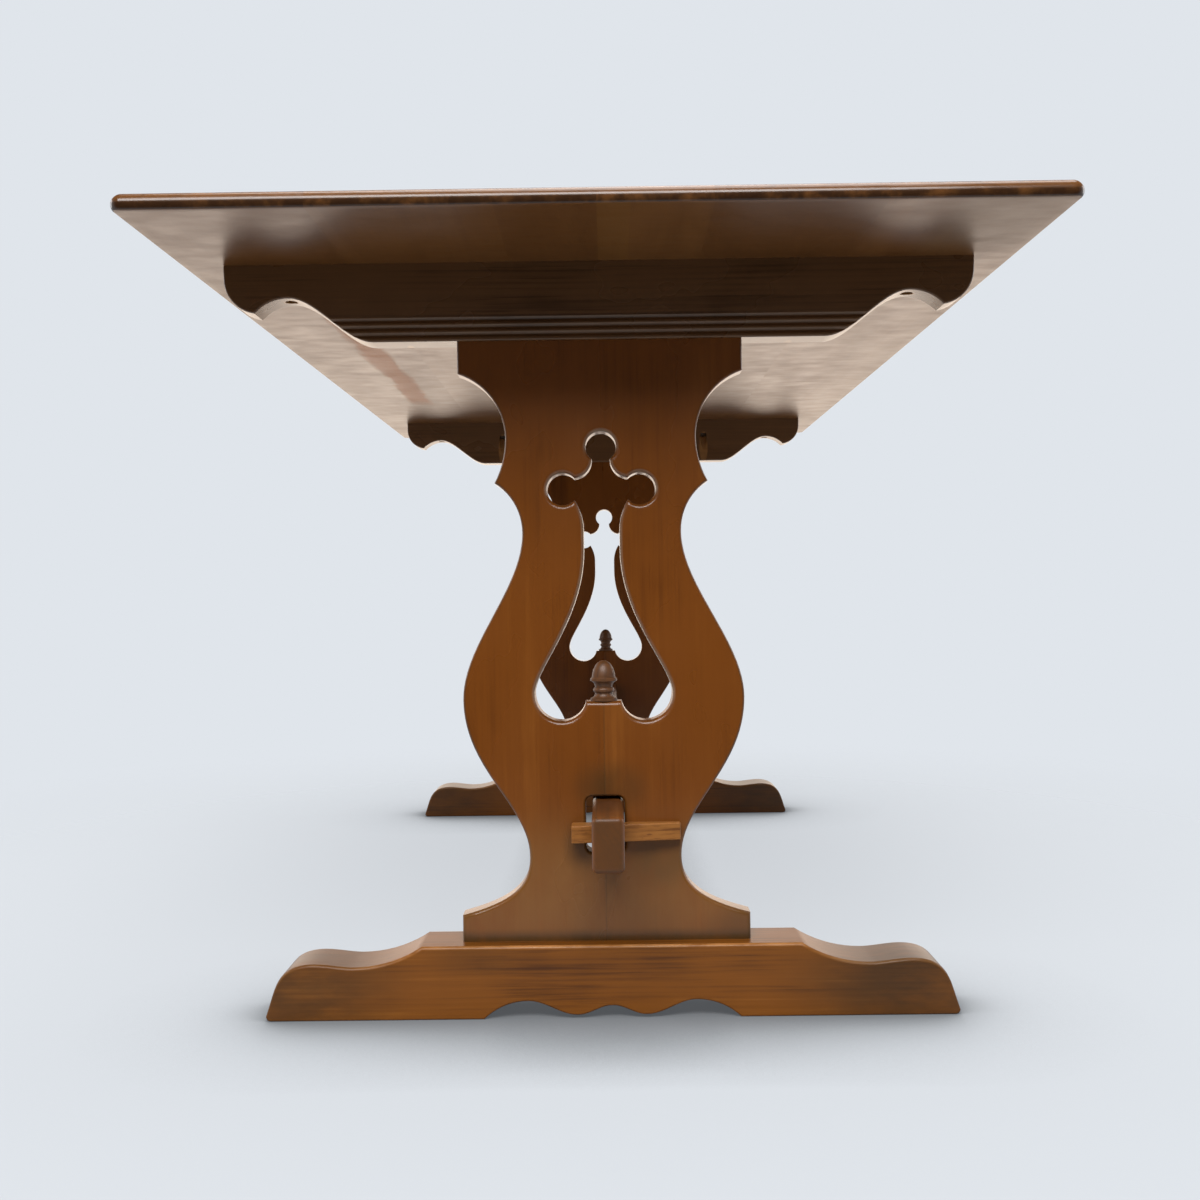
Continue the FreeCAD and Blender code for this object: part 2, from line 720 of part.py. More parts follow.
def finial(name, side):
    body = new_body(name)
    profile = new_sketch(body, f"{name}_profile", "XZ_Plane")
    cove = "finial_base_rise + finial_cove_rise"
    bead = f"{cove} + finial_bead_rise"
    rim = f"{bead} + finial_cup_rise"
    nut = f"{rim} + finial_rim_rise + finial_nut_step"
    tip = f"{nut} + finial_nut_rise"
    outline = Outline(profile, "0", "-spigot_length")
    outline.line("spigot_radius", "-spigot_length")
    outline.line("spigot_radius", "0")
    outline.line("finial_base_radius", "0")
    outline.line("finial_base_radius", "finial_base_rise")
    outline.arc("finial_neck_radius", cove, "upright", "end")
    outline.arc("finial_bead_radius", f"{cove} + finial_bead_rise / 2", "upright", "end")
    outline.arc("finial_neck_radius", bead, "upright", "start")
    outline.arc("finial_rim_radius", rim, "upright", "start")
    outline.line("finial_rim_radius", f"{rim} + finial_rim_rise")
    outline.line("finial_nut_radius", nut)
    outline.curve(("finial_nut_radius", f"{nut} + finial_nut_side"), ("finial_nut_crown", tip), "0", tip)
    outline.line("0", "-spigot_length")
    body.Tip = turned(body, profile, "Revolution")
    place(body, ("0", trestle_y(side), "foot_height + lobe_floor + block_rise"))
    return body


nodes = {}
all_bores = []
end_screws = []
pocket_screws = []

for end_name, side in trestles.items():
    upright, upright_bores = end_screws_and_bores(f"{end_name}_end_screw", side)
    leaning, leaning_bores = pocket_screws_and_bores(f"{end_name}_pocket_screw", side)
    end_screws += upright
    pocket_screws += leaning
    bores = upright_bores + leaning_bores
    all_bores += bores
    blank = bearer(f"{end_name}_bearer", side)
    nodes[f"{end_name}_bearer"] = cut(f"{end_name}_bearer", blank, group(f"{end_name}_bearer_bores", bores))
    for hand in ("left", "right"):
        nodes[f"{end_name}_panel_{hand}"] = panel_half(f"{end_name}_panel_{hand}", side, hand == "left")
    nodes[f"{end_name}_foot"] = foot(f"{end_name}_foot", side)
    nodes[f"{end_name}_finial"] = finial(f"{end_name}_finial", side)
    nodes[f"{end_name}_key"] = key(f"{end_name}_key", side)

nodes["stretcher"] = stretcher("stretcher")
nodes["bearer_end_screws"] = group("bearer_end_screws", end_screws)
nodes["bearer_pocket_screws"] = group("bearer_pocket_screws", pocket_screws)
pilot_holes = group("pilot_holes", all_bores)
for index, (left, right) in enumerate(zip(seams, seams[1:]), 1):
    board = top_board(f"top_board_{index}", left, right, index == 1, index == len(seams) - 1)
    nodes[f"top_board_{index}"] = cut(f"top_board_{index}", board, pilot_holes)

doc.recompute()
for item in doc.Objects:
    if "Invalid" in item.State or "Error" in item.State:
        raise RuntimeError(f"{item.Label} failed: {item.State}")
for name, item in nodes.items():
    item.Label = name
    if item.Shape.isNull() or not item.Shape.isValid():
        raise RuntimeError(f"{name} has no valid shape")

os.makedirs("parts", exist_ok=True)
for name, item in nodes.items():
    item.Shape.exportStep(f"parts/{name}.step")
    box = item.Shape.BoundBox
    print(f"{name}: {len(item.Shape.Solids)} solids, {item.Shape.Volume / 1000:.1f} cm3,"
          f" X {box.XMin:.1f} to {box.XMax:.1f}, Y {box.YMin:.1f} to {box.YMax:.1f},"
          f" Z {box.ZMin:.1f} to {box.ZMax:.1f}")
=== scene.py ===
import json
import math

import bmesh
import bpy
from mathutils import Euler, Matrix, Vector


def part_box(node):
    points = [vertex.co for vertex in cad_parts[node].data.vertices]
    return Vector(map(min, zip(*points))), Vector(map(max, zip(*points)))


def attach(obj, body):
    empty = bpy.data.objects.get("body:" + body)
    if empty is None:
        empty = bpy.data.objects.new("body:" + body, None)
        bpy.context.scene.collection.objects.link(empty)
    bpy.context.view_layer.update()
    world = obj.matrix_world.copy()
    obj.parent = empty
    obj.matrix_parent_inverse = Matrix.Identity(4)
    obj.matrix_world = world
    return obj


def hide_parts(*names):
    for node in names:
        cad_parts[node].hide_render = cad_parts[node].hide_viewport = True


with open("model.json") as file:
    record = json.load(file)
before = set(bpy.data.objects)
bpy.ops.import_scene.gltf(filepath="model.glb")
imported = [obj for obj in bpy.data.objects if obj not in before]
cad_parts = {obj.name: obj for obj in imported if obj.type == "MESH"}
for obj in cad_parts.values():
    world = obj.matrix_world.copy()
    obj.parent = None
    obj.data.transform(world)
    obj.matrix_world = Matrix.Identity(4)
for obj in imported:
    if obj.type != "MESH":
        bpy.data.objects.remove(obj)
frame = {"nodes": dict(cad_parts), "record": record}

scene = bpy.context.scene
nodes = frame["nodes"]
bodies = frame["record"]["behaviour"]["bodies"]
bodyOf = {node: body for body, members in bodies.items() for node in members}
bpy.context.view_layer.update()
trestles = (("near", -1), ("far", 1))
print("frame loaded,", len(nodes), "nodes")


# A node of a shader tree. Inputs are plain values or other nodes' outputs.
def put(tree, kind, inputs=None, **settings):
    node = tree.nodes.new(kind)
    for setting, value in settings.items():
        setattr(node, setting, value)
    for socket, value in (inputs or {}).items():
        if isinstance(value, bpy.types.NodeSocket):
            tree.links.new(value, node.inputs[socket])
        else:
            node.inputs[socket].default_value = value
    return node


def calc(tree, operation, first, second=0.0, third=0.0):
    return put(tree, "ShaderNodeMath", {0: first, 1: second, 2: third}, operation=operation).outputs[0]


def stretched(tree, vector, along, across):
    inputs = {0: vector, 1: (along, across, across)}
    return put(tree, "ShaderNodeVectorMath", inputs, operation="MULTIPLY").outputs[0]


def noise(tree, vector, detail=2.0, roughness=0.5):
    inputs = {"Vector": vector, "Scale": 1.0, "Detail": detail, "Roughness": roughness}
    return put(tree, "ShaderNodeTexNoise", inputs).outputs[0]


# Maps a value from one range to 0..1, easing at both ends.
def between(tree, value, low, high):
    inputs = {"Value": value, "From Min": low, "From Max": high}
    return put(tree, "ShaderNodeMapRange", inputs, interpolation_type="SMOOTHSTEP").outputs[0]


def mixed(tree, factor, first, second):
    node = put(tree, "ShaderNodeMix", data_type="RGBA")
    for socket, value in ((0, factor), (6, first), (7, second)):
        if isinstance(value, bpy.types.NodeSocket):
            tree.links.new(value, node.inputs[socket])
        else:
            node.inputs[socket].default_value = value
    return node.outputs[2]


# Colours are written as they look on screen, 0 to 255.
def paint(red, green, blue):
    def linear(part):
        part = part / 255
        return part / 12.92 if part <= 0.04045 else ((part + 0.055) / 1.055) ** 2.4
    return (linear(red), linear(green), linear(blue), 1.0)


# How often each feature of the grain repeats in a metre, along the log and across it.
grainScale = {
    "wander": (1.6, 7.0),
    "ripple": (9.0, 60.0),
    "band": (1.5, 32.0),
    "cloud": (6.0, 10.0),
    "fibre": (7.0, 300.0),
    "dash": (12.0, 600.0),
    "planed": (45.0, 20.0),
    "wobble": (9.0, 30.0),
    "rub": (22.0, 60.0),
}
stripFade = 0.04


# Stained timber. The log runs along one axis, and the pith lies off the board, so that flat faces show
# arches. The tone runs from 0, dark, to 1, light, and each feature of the grain pushes it up or down.
def timber(name, look):
    material = bpy.data.materials.new(name)
    material.use_nodes = True
    tree = material.node_tree
    tree.nodes.clear()
    coordinates = put(tree, "ShaderNodeTexCoord").outputs
    order = {"X": (0, 1, 2), "Y": (1, 0, 2), "Z": (2, 0, 1)}[look["along"]]
    parts = put(tree, "ShaderNodeSeparateXYZ", {0: coordinates["Object"]}).outputs
    turned = put(tree, "ShaderNodeCombineXYZ", {i: parts[axis] for i, axis in enumerate(order)}).outputs[0]
    grain = put(tree, "ShaderNodeVectorMath", {0: turned, 1: look["pith"]}, operation="ADD").outputs[0]
    facing = put(tree, "ShaderNodeSeparateXYZ", {0: coordinates["Normal"]}).outputs
    endGrain = between(tree, calc(tree, "ABSOLUTE", facing[order[0]]), 0.6, 0.9)

    # growth rings, wandering along the log
    wander = calc(tree, "SUBTRACT", noise(tree, stretched(tree, grain, *grainScale["wander"])), 0.5)
    ripple = calc(tree, "SUBTRACT", noise(tree, stretched(tree, grain, *grainScale["ripple"])), 0.5)
    section = stretched(tree, grain, 0.0, 1.0)
    reach = put(tree, "ShaderNodeVectorMath", {0: section}, operation="LENGTH").outputs["Value"]
    reach = calc(tree, "MULTIPLY_ADD", wander, look["wander"], reach)
    reach = calc(tree, "MULTIPLY_ADD", ripple, look["ripple"], reach)
    turns = calc(tree, "MULTIPLY", reach, look["rings"])
    season = calc(tree, "FRACT", turns)
    ring = calc(tree, "FLOOR", turns)
    year = put(tree, "ShaderNodeTexWhiteNoise", {"W": ring}, noise_dimensions="1D").outputs[0]
    late = calc(tree, "MULTIPLY", between(tree, season, 0.2, 0.8), between(tree, season, 1.0, 0.8))
    late = calc(tree, "MULTIPLY", late, year)

    # broad bands, clouds of stain, fine fibres and open pores
    band = noise(tree, stretched(tree, grain, *grainScale["band"]))
    cloud = noise(tree, stretched(tree, grain, *grainScale["cloud"]), 3.0, 0.6)
    fibre = noise(tree, stretched(tree, grain, *grainScale["fibre"]), 4.0, 0.65)
    dash = noise(tree, stretched(tree, grain, *grainScale["dash"]), 1.0)
    pore = calc(tree, "MULTIPLY", between(tree, dash, 0.60, 0.72), calc(tree, "SUBTRACT", 1.0, late))
    tone = look["tone"]
    for feature, strength in ((band, look["band"]), (cloud, look["cloud"]), (fibre, look["fibre"])):
        tone = calc(tree, "MULTIPLY_ADD", calc(tree, "SUBTRACT", feature, 0.5), strength, tone)
    tone = calc(tree, "MULTIPLY_ADD", late, -look["ring"], tone)
    tone = calc(tree, "MULTIPLY_ADD", pore, -look["pore"], tone)
    below = between(tree, facing[2], -0.5, -0.9)
    if look["plainBelow"]:
        plain = calc(tree, "MULTIPLY", below, look["plainBelow"])
        tone = calc(tree, "MULTIPLY_ADD", calc(tree, "SUBTRACT", look["tone"], tone), plain, tone)
    endShare = calc(tree, "MULTIPLY", endGrain, 0.75)
    longShare = calc(tree, "SUBTRACT", 1.0, endShare)
    tone = calc(tree, "MULTIPLY_ADD", tone, longShare, calc(tree, "MULTIPLY", endShare, look["endTone"]))
    colour = mixed(tree, between(tree, tone, 0.0, 0.5), look["dark"], look["mid"])
    colour = mixed(tree, between(tree, tone, 0.5, 1.0), colour, look["light"])
    rough = calc(tree, "MULTIPLY_ADD", cloud, 0.14, look["roughness"] - 0.07)

    # a face that looks down is only planed, and its sheen is dull and mottled
    if look["dullBelow"]:
        planed = noise(tree, stretched(tree, grain, *grainScale["planed"]), 3.0, 0.6)
        dull = calc(tree, "MULTIPLY_ADD", planed, look["mottle"], look["dullBelow"] - look["mottle"] / 2)
        rough = calc(tree, "MULTIPLY_ADD", below, dull, rough)

    # one strip along the underside that took the finish differently
    if look["strip"]:
        strip = look["strip"]
        wobble = noise(tree, stretched(tree, grain, *grainScale["wobble"]), 3.0, 0.6)
        across = calc(tree, "MULTIPLY_ADD", wobble, strip["wobble"], parts[order[1]])
        off = calc(tree, "ABSOLUTE", calc(tree, "SUBTRACT", across, strip["middle"] + strip["wobble"] / 2))
        on = between(tree, off, strip["half"] + strip["soft"], strip["half"] - strip["soft"])
        on = calc(tree, "MULTIPLY", on, below)
        for limit, fade in ((strip["starts"], stripFade), (strip["stops"], -stripFade)):
            on = calc(tree, "MULTIPLY", on, between(tree, parts[order[0]], limit - fade, limit + fade))
        colour = mixed(tree, calc(tree, "MULTIPLY", on, strip["strength"]), colour, strip["colour"])
        rough = calc(tree, "MULTIPLY_ADD", on, strip["dryness"], rough)

    # arrises marked lighter by worn stain and painted highlight, and darker by grime and painted shade
    rub = noise(tree, stretched(tree, grain, *grainScale["rub"]), 3.0, 0.6)
    uneven = between(tree, rub, 0.25, 0.6)
    marks = (("wearAndHighlight", look["wearAndHighlightAmount"], look["wearAndHighlight"]), ("grimeAndShade", look["grimeAndShade"], look["dirtAndShade"]))
    for mark, strength, tint in marks:
        on = put(tree, "ShaderNodeAttribute", attribute_name=mark).outputs["Fac"]
        on = calc(tree, "MULTIPLY", calc(tree, "MULTIPLY", on, strength), uneven)
        colour = mixed(tree, on, colour, tint)
    # soft spots of another colour, among them painted light and painted shadow
    for patch in look["spots"]:
        off = put(tree, "ShaderNodeVectorMath", {0: coordinates["Object"], 1: patch["middle"]},
                  operation="SUBTRACT")
        off = put(tree, "ShaderNodeVectorMath", {0: off.outputs[0], 1: patch["size"]}, operation="DIVIDE")
        off = put(tree, "ShaderNodeVectorMath", {0: off.outputs[0]}, operation="LENGTH").outputs["Value"]
        on = calc(tree, "MULTIPLY", between(tree, off, 1.0, patch["core"]), patch["strength"])
        on = calc(tree, "MULTIPLY", on, between(tree, rub, -0.2, 0.7))
        colour = mixed(tree, on, colour, patch["colour"])

    relief = calc(tree, "MULTIPLY_ADD", pore, -0.4, calc(tree, "MULTIPLY", fibre, 0.5))
    relief = calc(tree, "MULTIPLY", relief, longShare)
    raised = {"Height": relief, "Strength": look["bump"], "Distance": look["relief"]}
    bump = put(tree, "ShaderNodeBump", raised).outputs[0]
    finish = {"Base Color": colour, "Roughness": rough, "Normal": bump,
              "Specular IOR Level": look["gloss"]}
    shader = put(tree, "ShaderNodeBsdfPrincipled", finish)
    put(tree, "ShaderNodeOutputMaterial", {"Surface": shader.outputs[0]})
    return material


# What all the timber shares. Each piece changes what it needs.
stainedWood = {
    "along": "X",
    "pith": (0.0, 0.11, 0.07),
    "rings": 210.0,
    "wander": 0.022,
    "ripple": 0.0016,
    "dark": paint(72, 38, 13),
    "mid": paint(108, 62, 24),
    "light": paint(138, 86, 40),
    "dirtAndShade": paint(36, 20, 10),
    "wearAndHighlight": paint(176, 116, 60),
    "tone": 0.5,
    "band": 0.8,
    "cloud": 0.9,
    "fibre": 0.6,
    "ring": 0.25,
    "pore": 0.2,
    "endTone": 0.25,
    "strip": None,
    "spots": [],
    "plainBelow": 0.0,
    "dullBelow": 0.0,
    "mottle": 0.0,
    "wearAndHighlightAmount": 0.55,
    "grimeAndShade": 0.6,
    "roughness": 0.28,
    "bump": 0.12,
    "relief": 0.0006,
    "gloss": 0.5,
}


# A soft spot of another colour: where it is, how far it reaches each way, and how much of it is solid.
def spot(middle, size, colour, strength, core=0.2):
    return {"middle": middle, "size": size, "colour": colour, "strength": strength, "core": core}


# Spots on an upright face, given across it and up it, go right through the piece.
def facePatches(places, colour):
    rightThrough = 20.0
    return [spot((x, 0.0, z), (width, rightThrough, height), colour, strength)
            for x, z, width, height, strength in places]


def dress(piece, node, material):
    piece.data.materials.clear()
    piece.data.materials.append(material)
    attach(piece, bodyOf[node])
    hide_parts(node)


# A copy of a node's solid with its flat faces joined up.
def copySolid(node):
    solid = bmesh.new()
    solid.from_mesh(nodes[node].data)
    bmesh.ops.remove_doubles(solid, verts=solid.verts, dist=1e-5)
    bmesh.ops.dissolve_limit(solid, angle_limit=math.radians(0.5), verts=solid.verts, edges=solid.edges)
    solid.normal_update()
    solid.verts.layers.float.new("wearAndHighlight")
    solid.verts.layers.float.new("grimeAndShade")
    return solid


# The outline of a node's flat face on one side, its corners in order. Holes in the face are left out.
def faceOutline(node, outward):
    solid = copySolid(node)
    flat = {f for f in solid.faces if f.normal.y * outward > 0.99}
    front = max(f.calc_center_median().y * outward for f in flat)
    flat = {f for f in flat if f.calc_center_median().y * outward > front - 1e-5}
    rim = {e for e in solid.edges if sum(f in flat for f in e.link_faces) == 1}
    longest = []
    while rim:
        edge = rim.pop()
        loop = [edge.verts[0], edge.verts[1]]
        while loop[-1] != loop[0]:
            edge = next(e for e in loop[-1].link_edges if e in rim)
            rim.remove(edge)
            loop.append(edge.other_vert(loop[-1]))
        if len(loop) > len(longest):
            longest = loop
    corners = [v.co.copy() for v in longest[1:]]
    solid.free()
    return corners


# Sawn out along an outline and eased: a plate whose faces are square to Y. The rules give the rounding of
# each edge of the outline, in front and behind, and how much the rounding is marked lighter (wear and
# painted highlight) and darker (grime and painted shade).
def easedPlate(corners, inward, thickness, frontRound, backRound, marks, segments=5):
    plate = bmesh.new()
    for mark in ("wearAndHighlight", "grimeAndShade"):
        plate.verts.layers.float.new(mark)
    layers = [plate.verts.layers.float[mark] for mark in ("wearAndHighlight", "grimeAndShade")]
    count = len(corners)
    leastSquare, pointedBend, mitreTrim = 0.3, 0.4, 0.95
    turn = math.copysign(1, sum(a.x * b.z - b.x * a.z for a, b in zip(corners, corners[1:] + corners[:1])))

    def insideOf(a, b):
        return Vector((a.z - b.z, 0.0, b.x - a.x)).normalized() * turn

    # Which way a corner moves as the outline shrinks, and the rounding there.
    def inset(i, rounding):
        before, here, after = corners[i - 1], corners[i], corners[(i + 1) % count]
        first, last = rounding(before, here), rounding(here, after)
        if first and last:
            way = (insideOf(before, here) + insideOf(here, after)).normalized()
        elif first:
            way = (after - here).normalized()
        elif last:
            way = (before - here).normalized()
        else:
            return Vector(), 0.0
        square = way.dot(insideOf(before, here) if first else insideOf(here, after))
        return way / max(square, leastSquare), max(first, last)

    # Pointed corners are mitred: the roundings on either side stop where they meet.
    def mitresOf(insets, rounding):
        mitres = []
        for i, here in enumerate(corners):
            before, after = corners[i - 1], corners[(i + 1) % count]
            bend = (here - before).angle(after - here)
            pointed = bend > pointedBend and insideOf(before, here).dot(after - here) > 0
            if pointed and rounding(before, here) and rounding(here, after):
                mitres.append((here, insets[i][0], mitreTrim / math.tan(bend / 2)))
        return mitres

    rings = []
    for face, way, rounding in ((0.0, 1, frontRound), (thickness, -1, backRound)):
        insets = [inset(i, rounding) for i in range(count)]
        mitres = mitresOf(insets, rounding)
        side = []
        for step in range(segments + 1):
            lean = math.pi / 2 * step / segments
            ring = []
            for corner, (inside, radius) in zip(corners, insets):
                width = radius * (1 - math.sin(lean))
                depth = face + way * radius * (1 - math.cos(lean))
                place = corner + inside * width
                for point, mitre, spread in mitres:
                    if width > spread * (corner - point).length:
                        place = point + mitre * width
                vert = plate.verts.new(place + Vector((0.0, inward * depth, 0.0)))
                if radius and 0 < step < segments:
                    normal = Vector((0.0, -inward * way * math.cos(lean), 0.0)) - inside * math.sin(lean)
                    for layer, value in zip(layers, marks(corner, normal)):
                        vert[layer] = value
                ring.append(vert)
            side.append(ring)
        rings += side[::way]
    for first, second in zip(rings, rings[1:]):
        for i in range(count):
            plate.faces.new((first[i - 1], first[i], second[i], second[i - 1]))
    plate.faces.new(rings[0])
    plate.faces.new(rings[-1])
    bmesh.ops.remove_doubles(plate, verts=plate.verts, dist=1e-6)
    bmesh.ops.recalc_face_normals(plate, faces=plate.faces)
    return plate


def cutAcross(solid, place, normal):
    bmesh.ops.bisect_plane(solid, geom=solid.verts[:] + solid.edges[:] + solid.faces[:], dist=1e-6,
                           plane_co=place, plane_no=normal)


def finishPiece(solid, name):
    mesh = bpy.data.meshes.new(name)
    solid.to_mesh(mesh)
    solid.free()
    piece = bpy.data.objects.new(name, mesh)
    scene.collection.objects.link(piece)
    smoothPiece(piece)
    return piece


def smoothPiece(piece):
    creaseAngle = math.radians(38)
    piece.data.shade_smooth()
    piece.data.set_sharp_from_angle(angle=creaseAngle)
    evener = piece.modifiers.new("even shading", "WEIGHTED_NORMAL")
    evener.keep_sharp = True


# Bores round holes into a piece. Each hole is its two ends.
def boreHoles(piece, holes, radius):
    cutters = bmesh.new()
    for start, end in holes:
        axis = end - start
        spin = axis.to_track_quat("Z", "Y").to_matrix().to_4x4()
        spin.translation = (start + end) / 2
        bmesh.ops.create_cone(cutters, cap_ends=True, segments=48, radius1=radius, radius2=radius,
                              depth=axis.length, matrix=spin)
    mesh = bpy.data.meshes.new("drill")
    cutters.to_mesh(mesh)
    cutters.free()
    drill = bpy.data.objects.new("drill", mesh)
    scene.collection.objects.link(drill)
    piece.modifiers.clear()
    boring = piece.modifiers.new("bores", "BOOLEAN")
    boring.operation = "DIFFERENCE"
    boring.solver = "EXACT"
    boring.object = drill
    bored = bpy.data.meshes.new_from_object(piece.evaluated_get(bpy.context.evaluated_depsgraph_get()))
    piece.modifiers.clear()
    piece.data = bored
    bpy.data.objects.remove(drill)
    smoothPiece(piece)


panelLook = {
    "pierceRound": 0.0045,
    "outlineRound": 0.0025,
    "flareRound": 0.0038,
    "flareHeight": (0.055, 0.105),
    "backRound": 0.0015,
    "pierceReach": 0.067,
    "pierceFoot": 0.200,
    "wood": {"along": "Z", "dark": paint(78, 38, 5), "mid": paint(116, 62, 10), "light": paint(138, 80, 22),
             "wearAndHighlight": paint(146, 122, 96), "wearAndHighlightAmount": 0.7, "grimeAndShade": 0.5, "dirtAndShade": paint(66, 49, 25),
             "rings": 150.0, "ring": 0.1, "fibre": 0.5, "band": 0.7, "pore": 0.1},
    # dark patches, in order: darker over the mortise, a painted shadow of the key beside the tenon, darker
    # left of the mortise, painted shade along the panel's bottom where it sits on the foot, darker at a
    # lower corner, and the dark line of the centre seam
    # patches: place across, place up, half width, half height, strength
    "darkPatches": [(0.005, 0.208, 0.045, 0.032, 0.6), (0.050, 0.140, 0.045, 0.036, 0.45),
              (-0.024, 0.158, 0.02, 0.03, 0.5), (0.0, 0.0665, 0.9, 0.013, 0.8),
              (0.125, 0.075, 0.05, 0.03, 0.4), (0.0, 0.20, 0.0012, 0.30, 0.4)],
    # painted light: the lower panel is painted lighter, where more light and the reflection of the lit
    # floor fall
    "paintedLight": [(0.0, 0.11, 0.30, 0.10, 0.75)],
    "paintedLightWood": paint(126, 84, 38),
}


def makePanelHalf(node, outward, material):
    low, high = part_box(node)
    corners = faceOutline(node, outward)
    bottom = min(co.z for co in corners)
    top = max(co.z for co in corners)

    def glued(a, b):
        return abs(a.x + b.x) < 2e-5 or max(a.z, b.z) < bottom + 1e-5 or min(a.z, b.z) > top - 1e-5

    def pierced(a):
        return abs(a.x) < panelLook["pierceReach"] and a.z > bottom + panelLook["pierceFoot"]

    def frontRound(a, b):
        if glued(a, b):
            return 0.0
        if pierced((a + b) / 2):
            return panelLook["pierceRound"]
        start, full = panelLook["flareHeight"]
        above = min(1.0, max(0.0, ((a.z + b.z) / 2 - bottom - start) / (full - start)))
        return panelLook["flareRound"] + above * (panelLook["outlineRound"] - panelLook["flareRound"])

    def backRound(a, b):
        return 0.0 if glued(a, b) else panelLook["backRound"]

    # inside the piercings, roundings that face down and sideways are painted pale, a painted reflection of
    # the lit floor, and those that face up get painted shade. The roundings of the outer outline are all
    # marked darker.
    def marks(corner, normal):
        if not pierced(corner):
            return 0.0, 1.0
        inside = min(1.0, max(0.0, 2.5 * math.hypot(normal.x, normal.z) - 1.0))
        return inside * min(1.0, max(0.0, 1.0 - 2.5 * normal.z)), max(0.0, normal.z)

    plate = easedPlate(corners, -outward, high.y - low.y, frontRound, backRound, marks)
    dress(finishPiece(plate, f"{node}_timber"), node, material)


for end, outward in trestles:
    for shift, hand in enumerate(("left", "right")):
        look = stainedWood | panelLook["wood"]
        look["pith"] = (0.3 * shift + outward, 0.05 - 0.24 * shift, outward * -0.47)
        look["spots"] = (facePatches(panelLook["paintedLight"], panelLook["paintedLightWood"])
                         + facePatches(panelLook["darkPatches"], look["dirtAndShade"]))
        makePanelHalf(f"{end}_panel_{hand}", outward, timber(f"panel wood {end} {hand}", look))
print("panels sawn and eased")


footLook = {
    "upperRound": 0.0032,
    "underRound": 0.0018,
    "upperHeight": (0.012, 0.036),
    "wood": {"along": "X", "dark": paint(78, 42, 9), "mid": paint(124, 71, 14), "light": paint(150, 92, 30),
             "wearAndHighlight": paint(184, 126, 70), "wearAndHighlightAmount": 0.9, "rings": 260.0, "ring": 0.22, "ripple": 0.0012,
             "fibre": 0.9, "band": 0.4, "pore": 0.1, "dirtAndShade": paint(50, 36, 18),
             "gloss": 0.3, "roughness": 0.36},
    # patches: place across, place up, half width, half height, strength
    "darkPatches": [(-0.28, 0.030, 0.12, 0.08, 0.65), (0.28, 0.032, 0.15, 0.08, 0.75),
              (-0.12, 0.055, 0.06, 0.02, 0.3)],
}


def makeFoot(node, outward, material):
    low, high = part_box(node)

    def rounding(a, b):
        start, full = footLook["upperHeight"]
        upper = min(1.0, max(0.0, ((a.z + b.z) / 2 - start) / (full - start)))
        return footLook["underRound"] + upper * (footLook["upperRound"] - footLook["underRound"])

    # roundings that face up are lighter, partly worn stain and partly a painted highlight; roundings that
    # face down get painted shade
    def marks(corner, normal):
        return min(1.0, max(0.0, 1.8 * normal.z - 0.2)), max(0.0, -normal.z)

    plate = easedPlate(faceOutline(node, outward), -outward, high.y - low.y, rounding, rounding, marks)
    dress(finishPiece(plate, f"{node}_timber"), node, material)


for end, outward in trestles:
    look = stainedWood | footLook["wood"] | {"pith": (outward, 0.09 - outward * 0.56, 0.06)}
    look["spots"] = facePatches(footLook["darkPatches"], look["dirtAndShade"])
    makeFoot(f"{end}_foot", outward, timber(f"foot wood {end}", look))
print("feet sawn and eased")


bearerLook = {
    "outlineRound": 0.0020,
    "arrisWear": 0.3,
    "reedFirst": 0.0057,
    "reedPitch": 0.0068,
    "reedCount": 3,
    "reedDepth": 0.0019,
    "reedHalf": 0.0030,
    "reedSlices": 12,
    "boreRadius": 0.006,
    "boreDepth": 0.012,
    "archReach": 0.286,
    "archHeight": 0.0415,
    "pocketReach": 0.177,
    "pocketHeight": 0.036,
    "pocketLean": 20.0,
    "pocketRunout": 0.040,
    "wood": {"along": "X", "dark": paint(74, 48, 26), "mid": paint(104, 71, 42),
             "light": paint(122, 84, 50), "wearAndHighlight": paint(140, 108, 76), "wearAndHighlightAmount": 0.4},
    "rawWood": paint(150, 104, 58),
    "rawArch": (0.008, 0.008, 0.03),
    "rawPocket": (0.008, 0.03, 0.03),
    "rawDrop": 0.012,
    "rawCore": 0.8,
}


# Ploughs the reeds: what lies outside a groove's rounded section moves in to it.
def ploughReeds(plate, front, inward, bottom):
    half = bearerLook["reedHalf"]
    slices = bearerLook["reedSlices"]
    wearAndHighlight = plate.verts.layers.float["wearAndHighlight"]
    for reed in range(bearerLook["reedCount"]):
        middle = bottom + bearerLook["reedFirst"] + reed * bearerLook["reedPitch"]
        for cut in range(slices + 1):
            cutAcross(plate, (0.0, 0.0, middle + half * (2 * cut / slices - 1)), (0.0, 0.0, 1.0))
        # the upper half of each groove, which faces down to the lit floor, is marked lighter: wear and a
        # painted highlight
        for vert in plate.verts:
            offset = (vert.co.z - middle) / half
            if abs(offset) < 1:
                depth = bearerLook["reedDepth"] * (1 + math.cos(math.pi * offset)) / 2
                if (vert.co.y - front) * inward < depth:
                    vert.co.y = front + inward * depth
                    vert[wearAndHighlight] = max(0.0, offset)


